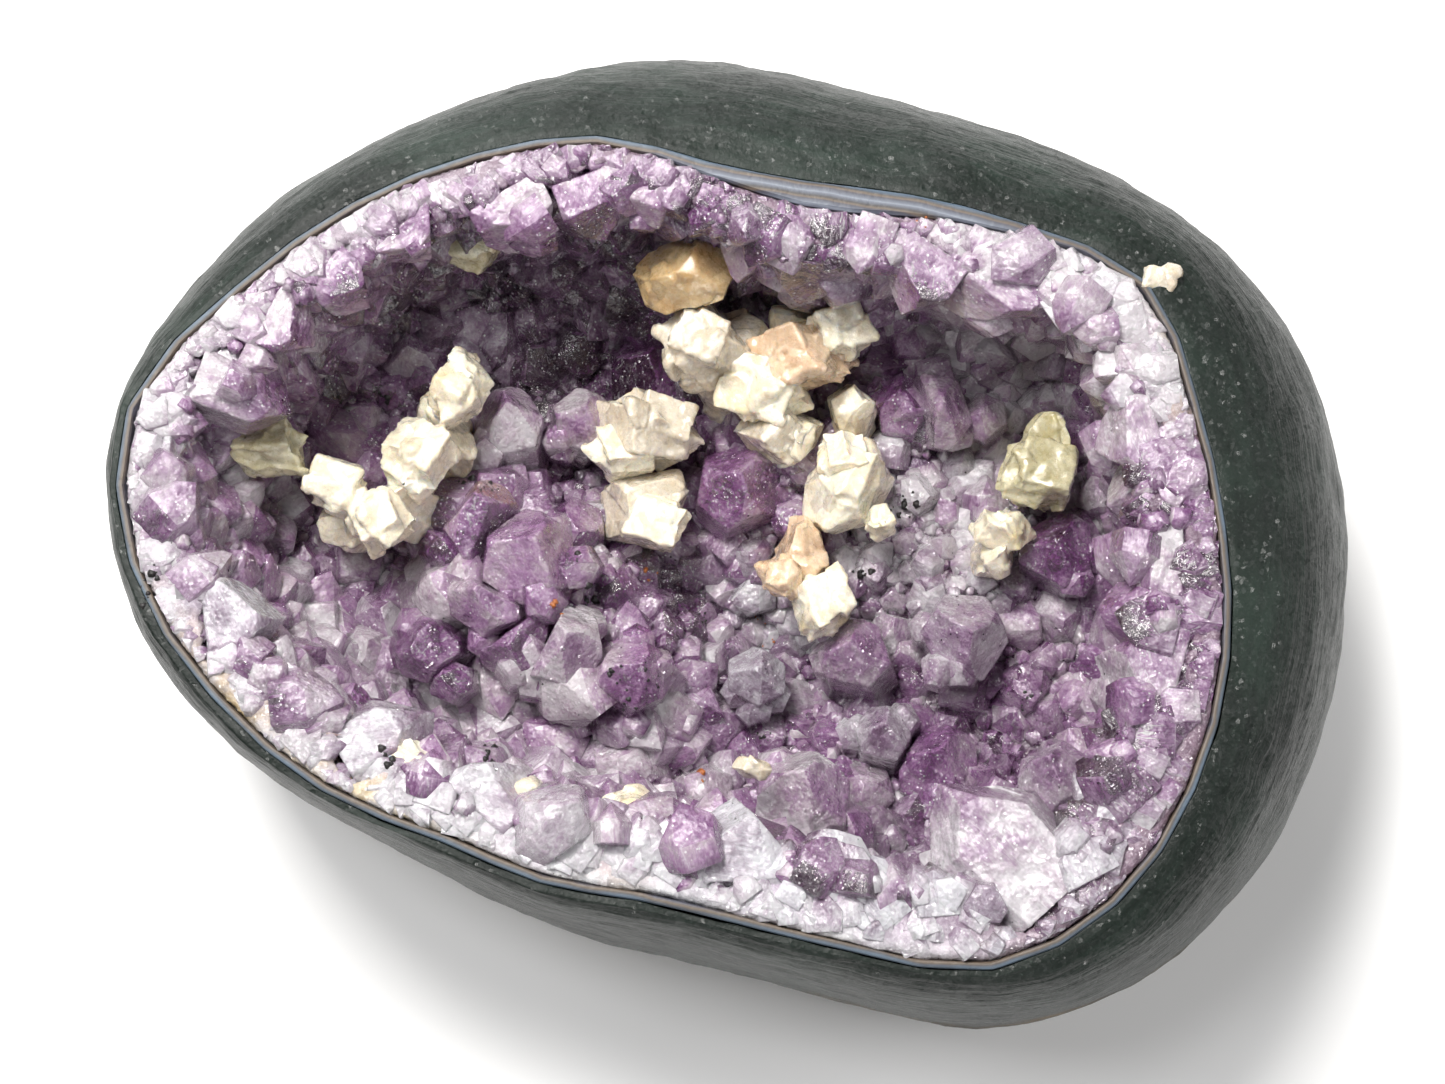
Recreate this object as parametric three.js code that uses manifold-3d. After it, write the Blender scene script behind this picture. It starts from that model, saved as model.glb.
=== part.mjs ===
// Half of an amethyst geode, lying on its rounded back with the crystal cavity facing up.
// From the outside in it is a basalt skin, a thin agate lining, a bed of pale quartz, and the
// amethyst and calcite crystals that are rooted in that bed. The saw cut across the top is
// polished, so the crystals that reach the rim are cut off flat there.
// Millimetres, +Z up, long axis along X with the narrow end at -X, standing on its ground foot.
import * as THREE from "three";
import { mergeVertices } from "three/addons/utils/BufferGeometryUtils.js";
import Module from "manifold-3d";

const wasm = await Module();
wasm.setup();

// ---- driving dimensions ----
const CUT_Z = 100; // the sawn and polished face
const BELLY_Z = 50; // height of the widest section
const FOOT_SHARE = 0.42; // the ground foot's radius, as a share of the belly's
const BASALT_EDGE_Z = 98.6; // the basalt's rounded edge, just under the cut
const BASALT_LIP = 1.6; // width of the basalt's edge on the cut
const BASALT_WALL = 12; // least thickness at the belly
const BASALT_FLOOR = 14; // thickness over the foot
const UNDERCUT = 7; // how far the hollow in the basalt may widen below the rim
const AGATE_THIN = 1;
const AGATE_LENS = { at: 84, spread: 20, extra: 4 }; // a thicker stretch: degrees, degrees, mm
const BED_WALL = 13; // thickness of the quartz at the belly
const CAVITY_BELLY_Z = 62; // height at which the cavity is widest
const CAVITY_FLOOR_Z = 36; // the deepest pockets
const ROOT_DEPTH = 6; // how deep a crystal is rooted in the bed
const LEAST_BED = 3; // thickness of quartz left behind a crystal's root
const GAP = 0.3; // clearance kept between neighbouring solids
const AROUND = 48; // facets round the stone

// Radii every 15 degrees, anticlockwise from +X: the widest section, and the line on the cut
// where the basalt ends. FACE is the width of the polished quartz inside that line.
const BELLY = [
  126.5, 128, 130, 125, 116, 108.5, 107, 109.5, 111, 113, 118, 123,
  125, 119.5, 108, 92, 83, 78.5, 77, 80, 90, 107.5, 118, 123.5,
];
const RIM = [
  98.5, 96, 95.5, 97, 86, 78, 73.5, 75.5, 84.5, 91, 98.5, 107,
  117.5, 113, 101, 89, 77.5, 73, 69.5, 72, 80.5, 95, 100.5, 100.5,
];
const FACE = [
  14, 13, 12, 12, 10, 9, 8, 8, 8, 8, 9, 9,
  8, 10, 11, 11, 10, 11, 12, 13, 15, 15, 14, 14,
];

// The cavity's floor rises in mounds: [x, y, height, spread].
const MOUNDS = [
  [-42, -8, 30, 20],
  [-16, -28, 24, 16],
  [8, 22, 18, 22],
  [50, 14, 14, 22],
  [30, 42, 12, 12],
  [36, -34, 10, 16],
  [-64, 6, 12, 14],
];

// Amethysts that stand in the cavity: tip [x, y, z], radius, lean of the axis in x and in y.
const CAVITY_AMETHYSTS = [
  [0, 21, 68, 9, 0.05, 0.15],
  [27, 45, 66, 6.5, -0.1, 0.2],
  [36, 41, 71, 7.5, 0.1, -0.15],
  [64, 21, 71, 7.5, -0.15, 0.1],
  [-51, 3, 79, 8, -0.3, 0.45],
  [-37, -4, 81, 9.5, 0.15, 0.2],
  [-47, -17, 79, 7.5, -0.2, -0.05],
  [-51, 24, 70, 8, -0.1, 0.3],
  [-35, 26, 68, 6, 0.1, 0.1],
  [-57, -30, 73, 6.5, -0.3, -0.15],
  [-38, -26, 76, 8, -0.05, -0.25],
  [-27, -21, 79, 8, 0.05, 0.1],
  [-11, -23, 77, 7, 0.2, 0.2],
  [11, -17, 62, 6, 0, 0.1],
  [28, -8, 66, 7, -0.2, 0.1],
  [51, -1, 70, 9, 0.05, -0.05],
  [39, -22, 61, 6, -0.05, 0.2],
  [51, -25, 61, 8.5, -0.1, 0.2],
  [71, -23, 70, 7.5, -0.4, 0.3],
  [25, -37, 79, 9.5, -0.1, 0.35],
  [-26, 42, 57, 9, -0.1, 0.1],
];

// Amethysts rooted in the rim that point into the cavity:
// [direction in degrees, tip's radius, tip's height, half width, root's height].
const RIM_AMETHYSTS = [
  [-176, 105, 95, 7, 98],
  [175, 87, 90, 7, 95],
  [166, 88, 92, 7, 96],
  [158, 83, 92, 7, 97],
  [148, 81, 92, 7.5, 97],
  [134, 68, 90, 8.5, 96],
  [124, 65, 91, 8, 97],
  [114, 64, 94, 7, 97],
  [101, 61, 94, 8.5, 97],
  [86, 52, 84, 11.5, 90],
  [67, 57, 92, 10.5, 97],
  [57, 66, 92, 9.5, 97],
  [41, 81, 92, 9, 97],
  [28, 74, 91, 10, 95],
  [11, 75, 91, 9.5, 95],
  [-3, 74, 90, 9.5, 95],
  [-20, 83, 90, 9, 95],
  [-35, 61, 94, 10.5, 92],
  [-74, 47, 92, 9, 94],
  [-119, 56, 94, 8.5, 96],
  [-137, 63, 91, 8, 92],
  [-158, 85, 92, 9, 96],
];

// Calcite blocks: top's middle [x, y, z], half length, half width, turn in degrees and, for
// those that hang on the cavity's wall and don't reach its floor, half height.
const CALCITES = [
  [-20, 55, 86, 11, 9, -8, 7],
  [-8, 44, 72, 13, 12, 20],
  [3, 54, 74, 6, 6, 60],
  [-19, 12, 70, 10, 11, 35],
  [21, 23, 72, 10, 11, -25],
  [14, 9, 70, 6, 6.5, 10],
  [18, 39, 70, 5.5, 7, 60],
  [8, 31, 71, 4, 7, -30],
  [59, 37, 75, 6.5, 9.5, 15],
  [53, 17, 73, 3.5, 6, -20],
  [-62, 15, 76, 6, 9, 30],
  [-65, -1, 75, 7, 7, -20],
  [-77, -6, 75, 6, 7, 10],
  [-7, -53, 95, 5.5, 6.5, 0, 6],
];

const BED_DRUSE = 60; // small crystals that grew as one with the bed

// ---- helpers ----
function seededRandom(seed) {
  let state = seed;
  return () => {
    state = (state * 1103515245 + 12345) % 2147483648;
    return state / 2147483648;
  };
}

// Smooth value at an angle in degrees, from a list of evenly spaced values round the circle.
function around(list, degrees) {
  const n = list.length;
  const place = ((degrees / 360) % 1) * n + n;
  const i = Math.floor(place);
  const t = place - i;
  const [a, b, c, d] = [-1, 0, 1, 2].map((k) => list[(i + k + n) % n]);
  const curve = 2 * a - 5 * b + 4 * c - d + t * (3 * b - a - 3 * c + d);
  return b + 0.5 * t * (c - a + t * curve);
}

function agateThickness(degrees) {
  const off = ((degrees - AGATE_LENS.at + 540) % 360) - 180;
  return AGATE_THIN + AGATE_LENS.extra * Math.exp(-((off / AGATE_LENS.spread) ** 2));
}

function mounds(x, y) {
  return MOUNDS.reduce(
    (sum, [mx, my, height, spread]) =>
      sum + height * Math.exp(-((x - mx) ** 2 + (y - my) ** 2) / spread ** 2),
    0,
  );
}

// One ring of points, from a function that gives [radius, height] at an angle.
function ring(profile) {
  return Array.from({ length: AROUND }, (_, j) => {
    const degrees = (360 * j) / AROUND;
    const turn = THREE.MathUtils.degToRad(degrees);
    const [radius, height] = profile(degrees);
    return new THREE.Vector3(radius * Math.cos(turn), radius * Math.sin(turn), height);
  });
}

// A closed bowl: rings that rise up its outside, then rings that fall down its inside. Both
// sides split each facet along the same diagonal, so bowls that nest keep their clearance.
function bowl(rising, falling, undersideZ, insideZ) {
  const rings = [...rising, ...falling];
  const points = [new THREE.Vector3(0, 0, undersideZ), ...rings.flat()];
  points.push(new THREE.Vector3(0, 0, insideZ));
  const at = (i, j) => 1 + i * AROUND + (j % AROUND);
  const index = [];
  for (let j = 0; j < AROUND; j++) {
    index.push(0, at(0, j + 1), at(0, j));
    index.push(points.length - 1, at(rings.length - 1, j), at(rings.length - 1, j + 1));
    for (let i = 0; i < rings.length - 1; i++) {
      const [a, b, c, d] = [at(i, j), at(i, j + 1), at(i + 1, j + 1), at(i + 1, j)];
      index.push(...(i < rising.length - 1 ? [a, b, d, b, c, d] : [a, b, c, a, c, d]));
    }
  }
  return toSolid(new THREE.BufferGeometry().setFromPoints(points).setIndex(index));
}

function toSolid(geometry) {
  const bare = geometry.clone();
  bare.deleteAttribute("normal");
  bare.deleteAttribute("uv");
  const merged = mergeVertices(bare, 1e-4);
  return new wasm.Manifold(
    new wasm.Mesh({
      numProp: 3,
      vertProperties: new Float32Array(merged.attributes.position.array),
      triVerts: new Uint32Array(merged.index.array),
    }),
  );
}

function toGeometry(solid) {
  const { vertProperties, triVerts } = solid.getMesh();
  const geometry = new THREE.BufferGeometry();
  geometry.setAttribute("position", new THREE.BufferAttribute(vertProperties, 3));
  geometry.setIndex(new THREE.BufferAttribute(triVerts, 1));
  geometry.computeVertexNormals();
  return geometry;
}

function largestPiece(solid) {
  return solid.decompose().sort((a, b) => b.volume() - a.volume())[0];
}

// Shares from 0 to 1 in equal steps, with or without the ends.
function shares(count, first = true, last = true) {
  const list = Array.from({ length: count + 1 }, (_, k) => k / count);
  return list.slice(first ? 0 : 1, last ? undefined : -1);
}

const quarter = (share) => (share * Math.PI) / 2;
const easeInOut = (share) => (1 - Math.cos(share * Math.PI)) / 2;

// ---- the layers, each a bowl inside the one before ----
// A surface is given by how far it lies inside the basalt's inner wall and over its floor.
const BASALT_INSIDE = { wall: () => 0, floor: 0, edgeZ: BASALT_EDGE_Z };
const AGATE_OUTSIDE = { wall: () => GAP, floor: GAP, edgeZ: BASALT_EDGE_Z + 0.5 };
const AGATE_INSIDE = {
  wall: (degrees) => GAP + agateThickness(degrees),
  floor: GAP + AGATE_THIN,
  edgeZ: BASALT_EDGE_Z + 0.5,
};
const BED_OUTSIDE = {
  wall: (degrees) => 2 * GAP + agateThickness(degrees),
  floor: 2 * GAP + AGATE_THIN,
  edgeZ: CUT_Z - 0.8,
};

// Radius of the hollow in the basalt, at the height where it is widest.
function hollowBelly(degrees) {
  return Math.min(around(BELLY, degrees) - BASALT_WALL, around(RIM, degrees) + UNDERCUT);
}

function fallingRings({ wall, floor, edgeZ }) {
  const floorZ = BASALT_FLOOR + floor;
  const upper = shares(4).map((share) =>
    ring((degrees) => {
      const edge = around(RIM, degrees) - wall(degrees);
      const wide = hollowBelly(degrees) - wall(degrees);
      return [edge + (wide - edge) * easeInOut(share), edgeZ + (BELLY_Z - edgeZ) * share];
    }),
  );
  const lower = shares(6, false, false).map((share) =>
    ring((degrees) => {
      const wide = hollowBelly(degrees) - wall(degrees);
      const height = floorZ + (BELLY_Z - floorZ) * (1 - Math.sin(quarter(share)));
      return [wide * Math.cos(quarter(share)), height];
    }),
  );
  return { rings: [...upper, ...lower], floorZ };
}

function basaltShell() {
  const underside = shares(7).map((share) =>
    ring((degrees) => {
      const wide = around(BELLY, degrees);
      const foot = wide * FOOT_SHARE;
      const out = Math.sin(quarter(share)) ** 0.9;
      return [foot + (wide - foot) * out, BELLY_Z * (1 - Math.cos(quarter(share)))];
    }),
  );
  const shoulder = shares(7, false).map((share) =>
    ring((degrees) => {
      const edge = around(RIM, degrees) + BASALT_LIP;
      const wide = around(BELLY, degrees);
      const height = BELLY_Z + (BASALT_EDGE_Z - BELLY_Z) * Math.sin(quarter(share));
      return [edge + (wide - edge) * Math.cos(quarter(share)), height];
    }),
  );
  const inside = fallingRings(BASALT_INSIDE);
  return bowl([...underside, ...shoulder], inside.rings, 0, inside.floorZ);
}

function agateLining() {
  const outside = fallingRings(AGATE_OUTSIDE);
  const inside = fallingRings(AGATE_INSIDE);
  return bowl(outside.rings.toReversed(), inside.rings, outside.floorZ, inside.floorZ);
}

function bedEdge(degrees) {
  return around(RIM, degrees) - BED_OUTSIDE.wall(degrees);
}

function mouth(degrees) {
  return bedEdge(degrees) - around(FACE, degrees);
}

function cavityBelly(degrees) {
  return hollowBelly(degrees) - BED_OUTSIDE.wall(degrees) - BED_WALL;
}

// Height of the cavity's floor at a share of the way out from its middle to its wall.
function floorHeight(degrees, share) {
  const turn = THREE.MathUtils.degToRad(degrees);
  const radius = share * cavityBelly(degrees);
  const rise = 1 - Math.sqrt(1 - share ** 2);
  const swell = mounds(radius * Math.cos(turn), radius * Math.sin(turn)) * (1 - share ** 4);
  return CAVITY_FLOOR_Z + (CAVITY_BELLY_Z - CAVITY_FLOOR_Z) * rise + swell;
}

function floorAt(x, y) {
  const degrees = THREE.MathUtils.radToDeg(Math.atan2(y, x));
  return floorHeight(degrees, Math.min(1, Math.hypot(x, y) / cavityBelly(degrees)));
}

function quartzBed() {
  const outside = fallingRings(BED_OUTSIDE);
  const face = [0.1, 0.55, 1].map((share) =>
    ring((degrees) => [bedEdge(degrees) - around(FACE, degrees) * share, CUT_Z]),
  );
  const wall = shares(4, false).map((share) =>
    ring((degrees) => {
      const radius = mouth(degrees) + (cavityBelly(degrees) - mouth(degrees)) * easeInOut(share);
      return [radius, CUT_Z - 2 + (CAVITY_BELLY_Z - CUT_Z + 2) * share];
    }),
  );
  const floor = [0.93, 0.84, 0.72, 0.6, 0.48, 0.36, 0.24, 0.12].map((share) =>
    ring((degrees) => [share * cavityBelly(degrees), floorHeight(degrees, share)]),
  );
  const falling = [...face.slice(1), ...wall, ...floor];
  const rising = [...outside.rings.toReversed(), face[0]];
  return bowl(rising, falling, outside.floorZ, floorHeight(0, 0));
}

// The space that crystals may fill: everything inside the bed's outer surface, less LEAST_BED.
function crystalRoom() {
  const reach = {
    wall: (degrees) => BED_OUTSIDE.wall(degrees) + LEAST_BED,
    floor: BED_OUTSIDE.floor + LEAST_BED,
    edgeZ: CUT_Z,
  };
  const outside = fallingRings(reach);
  const lid = ring((degrees) => [mouth(degrees) / 2, CUT_Z]);
  return bowl(outside.rings.toReversed(), [lid], outside.floorZ, CUT_Z);
}

// ---- crystals ----
const PRISM_SIDES = 6;
const TIP_FACE_TILT = THREE.MathUtils.degToRad(51.8); // from the axis to a tip face's normal

// A quartz crystal along +Z with its tip near the origin: six prism faces and six tip faces,
// of which every other one is larger.
function quartzCrystal(radius, length, random) {
  const block = new THREE.BoxGeometry(4 * radius, 4 * radius, length);
  let solid = toSolid(block.translate(0, 0, -length / 2));
  const across = Math.sin(TIP_FACE_TILT);
  const up = Math.cos(TIP_FACE_TILT);
  for (let k = 0; k < PRISM_SIDES; k++) {
    const turn = (k * Math.PI) / 3;
    const [x, y] = [Math.cos(turn), Math.sin(turn)];
    solid = solid.trimByPlane([-x, -y, 0], -radius * (0.84 + 0.22 * random()));
    const larger = k % 2 === 0;
    const offset = radius * (larger ? -0.1 + 0.15 * random() : 0.1 + 0.15 * random());
    solid = solid.trimByPlane([-x * across, -y * across, -up], -offset);
  }
  return solid;
}

// A crystal whose axis runs from its root to its tip, turned about it by chance.
function crystalBetween(root, tip, radius, random) {
  const length = root.distanceTo(tip);
  const axis = new THREE.Vector3().subVectors(tip, root).normalize();
  const up = new THREE.Vector3(0, 0, 1);
  const turn = new THREE.Quaternion().setFromUnitVectors(up, axis);
  turn.multiply(new THREE.Quaternion().setFromAxisAngle(up, random() * Math.PI));
  const matrix = new THREE.Matrix4().compose(tip, turn, new THREE.Vector3(1, 1, 1));
  const solid = quartzCrystal(radius, length, random).transform(matrix.elements);
  return { solid, root, tip, radius };
}

function standingCrystal(x, y, z, radius, leanX, leanY, random) {
  const axis = new THREE.Vector3(leanX, leanY, 1).normalize();
  const tip = new THREE.Vector3(x, y, z);
  const root = tip.clone().addScaledVector(axis, floorAt(x, y) - z - ROOT_DEPTH);
  return crystalBetween(root, tip, radius, random);
}

function rimCrystal(degrees, tipRadius, tipZ, halfWidth, rootZ, random) {
  const turn = THREE.MathUtils.degToRad(degrees);
  const out = new THREE.Vector3(Math.cos(turn), Math.sin(turn), 0);
  const root = out.clone().multiplyScalar(bedEdge(degrees) - ROOT_DEPTH).setZ(rootZ);
  const tip = out.clone().multiplyScalar(tipRadius).setZ(tipZ);
  return crystalBetween(root, tip, halfWidth, random);
}

const CALCITE_FACES = 16;

// A calcite block: a box with its corners and edges cut off at slanting, uneven planes.
function calciteBlock([x, y, top, halfX, halfY, turnDegrees, hangingHalfZ], random) {
  let solid = toSolid(new THREE.BoxGeometry(2, 2, 2));
  for (let k = 0; k < CALCITE_FACES; k++) {
    const height = -0.8 + (1.6 * (k + 0.5)) / CALCITE_FACES;
    const turn = k * 2.4 + random();
    const flat = Math.sqrt(1 - height ** 2);
    const normal = [-Math.cos(turn) * flat, -Math.sin(turn) * flat, -height];
    solid = solid.trimByPlane(normal, -(0.82 + 0.24 * random()));
  }
  const halfZ = hangingHalfZ ?? (top - floorAt(x, y) + ROOT_DEPTH) / 2;
  const centre = new THREE.Vector3(x, y, top - halfZ);
  const turn = new THREE.Quaternion().setFromEuler(
    new THREE.Euler(0.2 * random(), 0.2 * random(), THREE.MathUtils.degToRad(turnDegrees)),
  );
  const size = new THREE.Vector3(halfX, halfY, halfZ);
  const matrix = new THREE.Matrix4().compose(centre, turn, size);
  return {
    solid: solid.transform(matrix.elements),
    root: centre.clone().setZ(centre.z - halfZ * 0.6),
    tip: centre.clone().setZ(centre.z + halfZ * 0.6),
    radius: (halfX + halfY) / 2,
  };
}

// The nearest points of two crystals' axes.
function nearestOnAxes(a, b) {
  let best = { distance: Infinity };
  for (const s of shares(12)) {
    const p = a.root.clone().lerp(a.tip, s);
    for (const t of shares(12)) {
      const q = b.root.clone().lerp(b.tip, t);
      const distance = p.distanceTo(q);
      if (distance < best.distance) best = { distance, p, q };
    }
  }
  return best;
}

// Where two crystals grew into each other they meet at a plane, with the gap between them.
function meetAtPlanes(crystals) {
  crystals.forEach((a, i) =>
    crystals.slice(i + 1).forEach((b) => {
      if (a.solid.intersect(b.solid).volume() < 1e-6) return;
      const { p, q } = nearestOnAxes(a, b);
      const normal = new THREE.Vector3().subVectors(q, p).normalize();
      const middle = p.clone().lerp(q, a.radius / (a.radius + b.radius)).dot(normal);
      const { x, y, z } = normal;
      a.solid = a.solid.trimByPlane([-x, -y, -z], -middle + GAP / 2);
      b.solid = b.solid.trimByPlane([x, y, z], middle + GAP / 2);
    }),
  );
}

// The socket that a crystal sits in: the crystal, grown by a little over the gap.
function socketOf({ solid, radius }) {
  const { vertProperties: v } = solid.getMesh();
  const middle = [0, 0, 0];
  v.forEach((value, k) => (middle[k % 3] += (value * 3) / v.length));
  const share = 1 + (2.4 * GAP) / radius;
  return solid
    .translate(middle.map((c) => -c))
    .scale([share, share, share])
    .translate(middle);
}

// ---- the object ----
const random = seededRandom(11);

const calcites = CALCITES.map((row) => calciteBlock(row, random));
const cavityAmethysts = CAVITY_AMETHYSTS.map((row) => standingCrystal(...row, random));
const rimAmethysts = RIM_AMETHYSTS.map((row) => rimCrystal(...row, random));
const crystals = [...calcites, ...cavityAmethysts, ...rimAmethysts];
const room = crystalRoom();
crystals.forEach((crystal) => (crystal.solid = crystal.solid.intersect(room)));
meetAtPlanes(crystals);

// Small crystals that are one piece with the bed, spread evenly over the cavity's floor.
function bedDruse() {
  return Array.from({ length: BED_DRUSE }, (_, k) => {
    const degrees = 137.5 * k;
    const share = Math.sqrt((k + 0.5) / BED_DRUSE) * 0.9;
    const turn = THREE.MathUtils.degToRad(degrees);
    const radius = share * cavityBelly(degrees);
    const [x, y] = [radius * Math.cos(turn), radius * Math.sin(turn)];
    const size = 3 + 2.5 * random();
    const lean = -0.8 * share ** 2;
    const [leanX, leanY] = [lean * Math.cos(turn), lean * Math.sin(turn)];
    return standingCrystal(x, y, floorAt(x, y) + size, size, leanX, leanY, random).solid;
  });
}

const sockets = crystals.map(socketOf).reduce((all, one) => all.add(one));
const grown = bedDruse().reduce((all, one) => all.add(one), quartzBed());
const bed = largestPiece(grown.subtract(sockets));

const finish = (color, roughness) =>
  new THREE.MeshStandardMaterial({ color, roughness, metalness: 0 });
const BASALT = finish(0x3a423e, 0.75);
const AGATE = finish(0xa9b4c4, 0.25);
const QUARTZ = finish(0xcfc5d6, 0.35);
const AMETHYST = finish(0x7d4f9e, 0.12);
const CALCITE = finish(0xe6dcc0, 0.45);

const geode = new THREE.Group();

function addNode(name, solid, material) {
  const mesh = new THREE.Mesh(toGeometry(solid), material);
  mesh.name = name;
  geode.add(mesh);
}

function addNumbered(name, list, material) {
  list.forEach(({ solid }, k) => {
    addNode(`${name}_${String(k + 1).padStart(2, "0")}`, largestPiece(solid), material);
  });
}

const shell = basaltShell();
addNode("basalt_shell", shell, BASALT);
addNode("agate_lining", agateLining(), AGATE);
addNode("quartz_bed", bed, QUARTZ);
addNumbered("rim_amethyst", rimAmethysts, AMETHYST);
addNumbered("cavity_amethyst", cavityAmethysts, AMETHYST);
addNumbered("calcite", calcites, CALCITE);

// The origin is the middle of the stone's outline, on the surface that it stands on.
const { min, max } = shell.boundingBox();
geode.position.set(-(min[0] + max[0]) / 2, -(min[1] + max[1]) / 2, 0);

export default geode;
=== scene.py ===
# Half of an amethyst geode, lying on its rounded back with the crystals facing up.
import math
import random

import bmesh
import bpy
import numpy as np
from mathutils import Matrix, Vector, noise
from mathutils.bvhtree import BVHTree


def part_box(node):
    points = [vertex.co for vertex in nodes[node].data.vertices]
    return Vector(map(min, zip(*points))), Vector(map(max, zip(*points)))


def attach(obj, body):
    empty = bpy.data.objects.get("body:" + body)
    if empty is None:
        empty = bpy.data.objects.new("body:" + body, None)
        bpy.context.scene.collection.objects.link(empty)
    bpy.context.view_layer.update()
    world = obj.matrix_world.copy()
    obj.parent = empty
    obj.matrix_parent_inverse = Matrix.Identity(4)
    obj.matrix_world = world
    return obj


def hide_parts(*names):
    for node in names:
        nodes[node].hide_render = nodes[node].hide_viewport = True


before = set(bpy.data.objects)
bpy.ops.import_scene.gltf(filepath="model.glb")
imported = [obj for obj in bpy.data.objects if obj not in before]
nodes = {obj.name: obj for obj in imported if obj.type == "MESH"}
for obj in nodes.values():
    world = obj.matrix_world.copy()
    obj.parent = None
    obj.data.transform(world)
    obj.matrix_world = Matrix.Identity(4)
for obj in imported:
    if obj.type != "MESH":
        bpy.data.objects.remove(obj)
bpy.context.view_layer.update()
MM = 0.001


# The basalt skin is the lava that the gas bubble froze in. It is ground smooth by hand on a
# wheel, which leaves fine lines that run along the outline, and is rubbed with oil, so it is
# dark green-grey and satin. Low on the flanks the grinding stops and the rock is rough and brown.
CUT_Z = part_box("quartz_bed")[1].z
ROUGH_ROCK_TOP = 0.34 * CUT_Z


def copy_of_node(name, new_name):
    piece = bpy.data.objects.new(new_name, nodes[name].data.copy())
    bpy.context.scene.collection.objects.link(piece)
    piece.data.materials.clear()
    return piece


def apply_modifiers(piece):
    depsgraph = bpy.context.evaluated_depsgraph_get()
    made = bpy.data.meshes.new_from_object(piece.evaluated_get(depsgraph))
    piece.modifiers.clear()
    old = piece.data
    piece.data = made
    bpy.data.meshes.remove(old)


def points_of(mesh):
    flat = np.empty(len(mesh.vertices) * 3)
    mesh.vertices.foreach_get("co", flat)
    return flat.reshape(-1, 3)


def normals_of(mesh):
    flat = np.empty(len(mesh.vertices) * 3)
    mesh.vertices.foreach_get("normal", flat)
    return flat.reshape(-1, 3)


def set_points(mesh, points):
    mesh.vertices.foreach_set("co", np.ascontiguousarray(points, float).ravel())
    mesh.update()


def put(mesh, label, values, domain="POINT", kind="FLOAT"):
    """Keeps one value for each point or face of a mesh, for its finish to read."""
    values = np.ascontiguousarray(values, float).ravel()
    layer = mesh.attributes.new(label, kind, domain)
    layer.data.foreach_set("vector" if "VECTOR" in kind else "value", values)


def fractal(points, size, seed):
    """Smooth noise between about -1 and 1 at each point, with features of about that size."""
    shift = Vector((seed * 17.3, seed * 5.1, seed * 9.7))
    return np.array([noise.fractal(Vector(p) / size + shift, 1.0, 2.0, 3) for p in points])


def smooth_faces(mesh):
    mesh.polygons.foreach_set("use_smooth", [True] * len(mesh.polygons))


def keep(piece, slot, *replaced):
    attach(piece, "root")
    if replaced:
        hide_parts(*replaced)


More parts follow.
